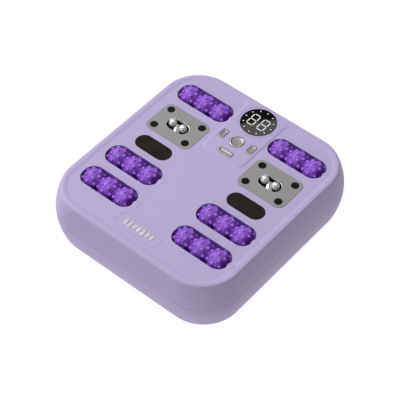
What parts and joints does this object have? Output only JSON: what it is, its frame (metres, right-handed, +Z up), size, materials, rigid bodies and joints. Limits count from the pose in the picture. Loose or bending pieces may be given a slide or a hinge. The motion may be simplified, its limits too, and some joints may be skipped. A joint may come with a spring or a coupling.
{
  "type": "foot massager",
  "caption": "Floor foot massager with two columns of knobbly rollers, grey plates with discs and chrome balls, infrared windows and a display panel.",
  "frame": {"origin": "on the floor under the middle of the body", "axes": "+Z up, +Y towards the toes and the display, +X to the right of a person whose feet are on the rollers"},
  "size_m": [0.3726, 0.4004, 0.1155],
  "materials": {
    "shell_lilac": "fine satin moulded ABS",
    "cover_lilac": "fine satin moulded ABS",
    "foot_rubber": "soft matt rubber",
    "screw_steel": "zinc plated steel",
    "well_purple": "dark purple moulded tub",
    "roller_purple": "translucent purple moulded roller",
    "bush_bronze": "sintered bronze",
    "axle_steel": "ground steel",
    "pulley_nylon": "natural nylon",
    "motor_steel": "plated motor can",
    "belt_rubber": "black toothless drive belt",
    "plate_grey": "matt grey plate",
    "magnet_black": "black disc",
    "cup_black": "black moulded cup",
    "trim_chrome": "polished chrome",
    "yoke_chrome": "polished chrome",
    "ball_chrome": "mirror polished steel",
    "lens_brown": "dark brown infrared filter",
    "board_green": "solder-masked circuit board",
    "display_black": "glossy black display window",
    "button_silver": "silver-grey satin button",
    "inlet_black": "black socket",
    "emblem_silver": "polished silver mark"
  },
  "bodies": {
    "housing": {"axle_bushes": "bush_bronze", "ball_cups": "cup_black", "ball_trim_left": "trim_chrome", "ball_trim_right": "trim_chrome", "ball_yoke_left": "yoke_chrome", "ball_yoke_right": "yoke_chrome", "belt_left": "belt_rubber", "belt_right": "belt_rubber", "board_screws": "screw_steel", "bottom_cover": "cover_lilac", "cover_screws": "screw_steel", "display_board": "board_green", "display_lens": "display_black", "emblem": "emblem_silver", "ir_boards": "board_green", "ir_lens_left": "lens_brown", "ir_lens_right": "lens_brown", "magnet_discs": "magnet_black", "main_board": "board_green", "motor_left": "motor_steel", "motor_right": "motor_steel", "plate_left": "plate_grey", "plate_right": "plate_grey", "power_inlet": "inlet_black", "rubber_feet": "foot_rubber", "switch_board": "board_green", "top_shell": "shell_lilac", "well_heel_left": "well_purple", "well_heel_right": "well_purple", "well_screws": "screw_steel", "well_toe_left": "well_purple", "well_toe_right": "well_purple"},
    "roller_set_toe_left": {"roller_toe_left": "roller_purple", "axle_toe_left": "axle_steel", "pulley_toe_left": "pulley_nylon"},
    "roller_set_mid_left": {"roller_mid_left": "roller_purple", "axle_mid_left": "axle_steel", "pulley_mid_left": "pulley_nylon"},
    "roller_set_heel_left": {"roller_heel_left": "roller_purple", "axle_heel_left": "axle_steel", "pulley_heel_left": "pulley_nylon"},
    "motor_drive_left": {"motor_pulley_left": "pulley_nylon"},
    "ball_left_inner": {"chrome_ball_left_inner": "ball_chrome"},
    "ball_left_outer": {"chrome_ball_left_outer": "ball_chrome"},
    "roller_set_toe_right": {"roller_toe_right": "roller_purple", "axle_toe_right": "axle_steel", "pulley_toe_right": "pulley_nylon"},
    "roller_set_mid_right": {"roller_mid_right": "roller_purple", "axle_mid_right": "axle_steel", "pulley_mid_right": "pulley_nylon"},
    "roller_set_heel_right": {"roller_heel_right": "roller_purple", "axle_heel_right": "axle_steel", "pulley_heel_right": "pulley_nylon"},
    "motor_drive_right": {"motor_pulley_right": "pulley_nylon"},
    "ball_right_inner": {"chrome_ball_right_inner": "ball_chrome"},
    "ball_right_outer": {"chrome_ball_right_outer": "ball_chrome"},
    "select_key": {"button_select": "button_silver"},
    "start_key": {"button_start": "button_silver"},
    "minus_key": {"button_minus": "button_silver"},
    "plus_key": {"button_plus": "button_silver"}
  },
  "joints": [
    {"name": "toe_roller_spin_left", "type": "hinge", "parent": "housing", "child": "roller_set_toe_left", "pos_m": [-0.0995, 0.1309, 0.094], "axis": [1, 0, 0], "continuous": true},
    {"name": "mid_roller_spin_left", "type": "hinge", "parent": "housing", "child": "roller_set_mid_left", "pos_m": [-0.0995, -0.0556, 0.094], "axis": [1, 0, 0], "continuous": true},
    {"name": "heel_roller_spin_left", "type": "hinge", "parent": "housing", "child": "roller_set_heel_left", "pos_m": [-0.0995, -0.1164, 0.094], "axis": [1, 0, 0], "continuous": true},
    {"name": "motor_spin_left", "type": "hinge", "parent": "housing", "child": "motor_drive_left", "pos_m": [-0.1623, 0.02, 0.031], "axis": [1, 0, 0], "continuous": true},
    {"name": "ball_spin_left_inner", "type": "hinge", "parent": "housing", "child": "ball_left_inner", "pos_m": [-0.089, 0.0583, 0.1046], "axis": [1, 0, 0], "continuous": true},
    {"name": "ball_spin_left_outer", "type": "hinge", "parent": "housing", "child": "ball_left_outer", "pos_m": [-0.111, 0.0583, 0.1046], "axis": [1, 0, 0], "continuous": true},
    {"name": "toe_roller_spin_right", "type": "hinge", "parent": "housing", "child": "roller_set_toe_right", "pos_m": [0.0995, 0.1309, 0.094], "axis": [1, 0, 0], "continuous": true},
    {"name": "mid_roller_spin_right", "type": "hinge", "parent": "housing", "child": "roller_set_mid_right", "pos_m": [0.0995, -0.0556, 0.094], "axis": [1, 0, 0], "continuous": true},
    {"name": "heel_roller_spin_right", "type": "hinge", "parent": "housing", "child": "roller_set_heel_right", "pos_m": [0.0995, -0.1164, 0.094], "axis": [1, 0, 0], "continuous": true},
    {"name": "motor_spin_right", "type": "hinge", "parent": "housing", "child": "motor_drive_right", "pos_m": [0.1623, 0.02, 0.031], "axis": [1, 0, 0], "continuous": true},
    {"name": "ball_spin_right_inner", "type": "hinge", "parent": "housing", "child": "ball_right_inner", "pos_m": [0.089, 0.0583, 0.1046], "axis": [1, 0, 0], "continuous": true},
    {"name": "ball_spin_right_outer", "type": "hinge", "parent": "housing", "child": "ball_right_outer", "pos_m": [0.111, 0.0583, 0.1046], "axis": [1, 0, 0], "continuous": true},
    {"name": "select_press", "type": "slide", "parent": "housing", "child": "select_key", "axis": [0, 0, -1], "range_m": [0, 0.0012], "stiffness_N_per_m": 400, "springref_m": -0.001},
    {"name": "start_press", "type": "slide", "parent": "housing", "child": "start_key", "axis": [0, 0, -1], "range_m": [0, 0.0012], "stiffness_N_per_m": 400, "springref_m": -0.001},
    {"name": "minus_press", "type": "slide", "parent": "housing", "child": "minus_key", "axis": [0, 0, -1], "range_m": [0, 0.0012], "stiffness_N_per_m": 400, "springref_m": -0.001},
    {"name": "plus_press", "type": "slide", "parent": "housing", "child": "plus_key", "axis": [0, 0, -1], "range_m": [0, 0.0012], "stiffness_N_per_m": 400, "springref_m": -0.001}
  ],
  "couplings": [
    {"joint": "mid_roller_spin_left", "follows": "heel_roller_spin_left", "ratio": 1},
    {"joint": "toe_roller_spin_left", "follows": "heel_roller_spin_left", "ratio": 1},
    {"joint": "motor_spin_left", "follows": "heel_roller_spin_left", "ratio": 1},
    {"joint": "mid_roller_spin_right", "follows": "heel_roller_spin_right", "ratio": 1},
    {"joint": "toe_roller_spin_right", "follows": "heel_roller_spin_right", "ratio": 1},
    {"joint": "motor_spin_right", "follows": "heel_roller_spin_right", "ratio": 1}
  ]
}
